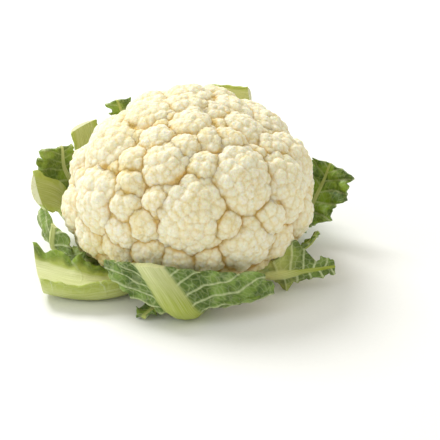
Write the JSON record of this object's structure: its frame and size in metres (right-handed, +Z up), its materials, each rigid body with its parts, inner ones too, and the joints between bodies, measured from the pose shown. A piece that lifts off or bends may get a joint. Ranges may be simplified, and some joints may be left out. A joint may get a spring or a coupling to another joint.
{
  "type": "cauliflower",
  "caption": "Whole trimmed cauliflower: a domed cream curd of fused florets on a short cut stem, ringed by ribbed green leaves cut back close to the head.",
  "frame": {"origin": "centre of the stem's cut face, which the head rests on", "axes": "+Z up along the stem, -Y towards the viewer of the picture, +X to that viewer's right"},
  "size_m": [0.2209, 0.2088, 0.121],
  "materials": {
    "curd": "matt, granular cream plant tissue",
    "stem": "smooth pale green stalk with a whitish cut face",
    "leaf": "waxy green leaf with pale ribs and veins"
  },
  "bodies": {
    "root": {"curd": "curd", "stem": "stem", "leaf_front": "leaf", "leaf_front_left": "leaf", "leaf_left_inner": "leaf", "leaf_left": "leaf", "leaf_left_back": "leaf", "leaf_back_left": "leaf", "leaf_back": "leaf", "leaf_back_right": "leaf", "leaf_far_right": "leaf", "leaf_right": "leaf", "leaf_right_small": "leaf", "leaf_right_front": "leaf", "leaf_under": "leaf"}
  },
  "joints": []
}
